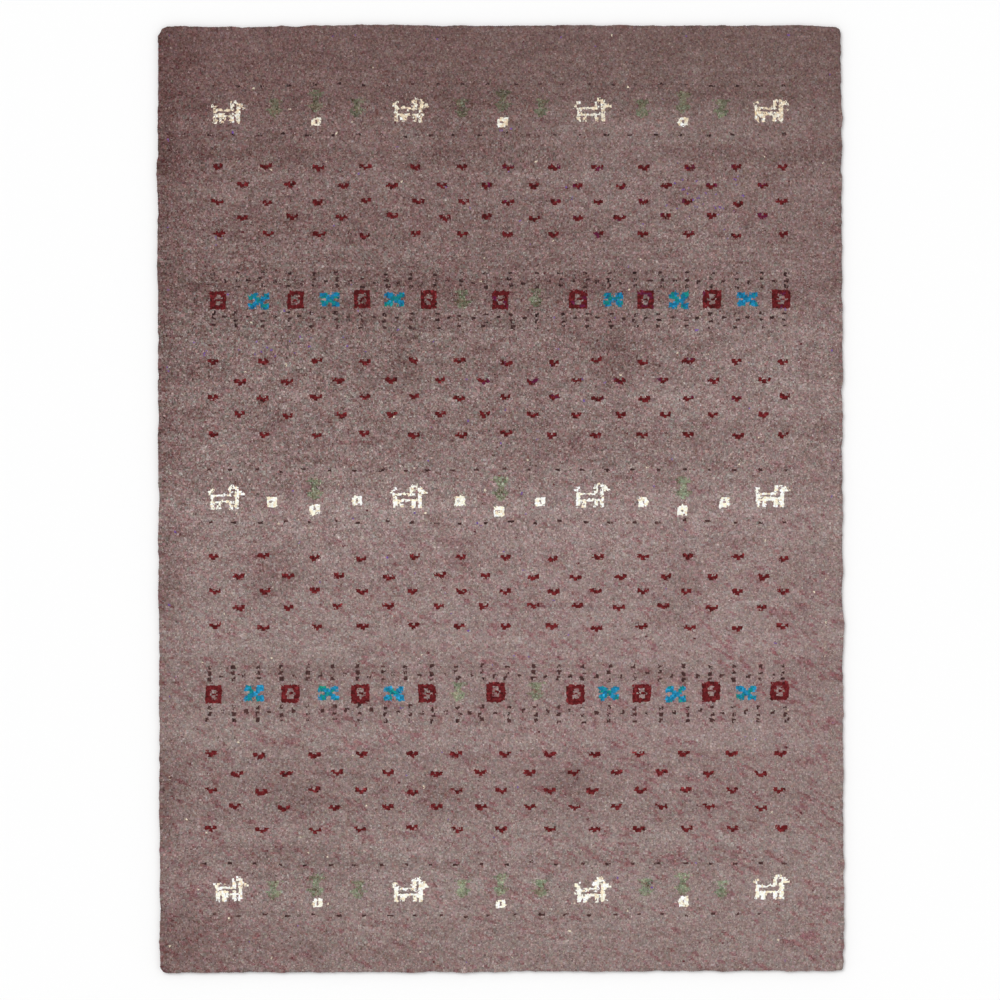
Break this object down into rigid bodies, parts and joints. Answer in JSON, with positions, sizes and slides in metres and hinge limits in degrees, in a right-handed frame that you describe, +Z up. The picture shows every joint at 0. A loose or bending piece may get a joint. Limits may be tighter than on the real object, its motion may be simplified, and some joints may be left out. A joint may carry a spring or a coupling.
{
  "type": "hand-knotted rug",
  "caption": "Rectangular hand-knotted wool rug with a cut pile, rows of small figures on a heathered mauve-brown ground, and slightly uneven edges, lying flat.",
  "frame": {"origin": "on the surface under the rug, at the centre of its outline", "axes": "+X across the rug, +Y along its length towards the end at the top of the pattern, +Z up out of the pile"},
  "size_m": [1.4476, 1.9996, 0.012],
  "materials": {
    "pile_wool": "matte cut wool pile"
  },
  "bodies": {
    "root": {"rug": "pile_wool"}
  },
  "joints": []
}
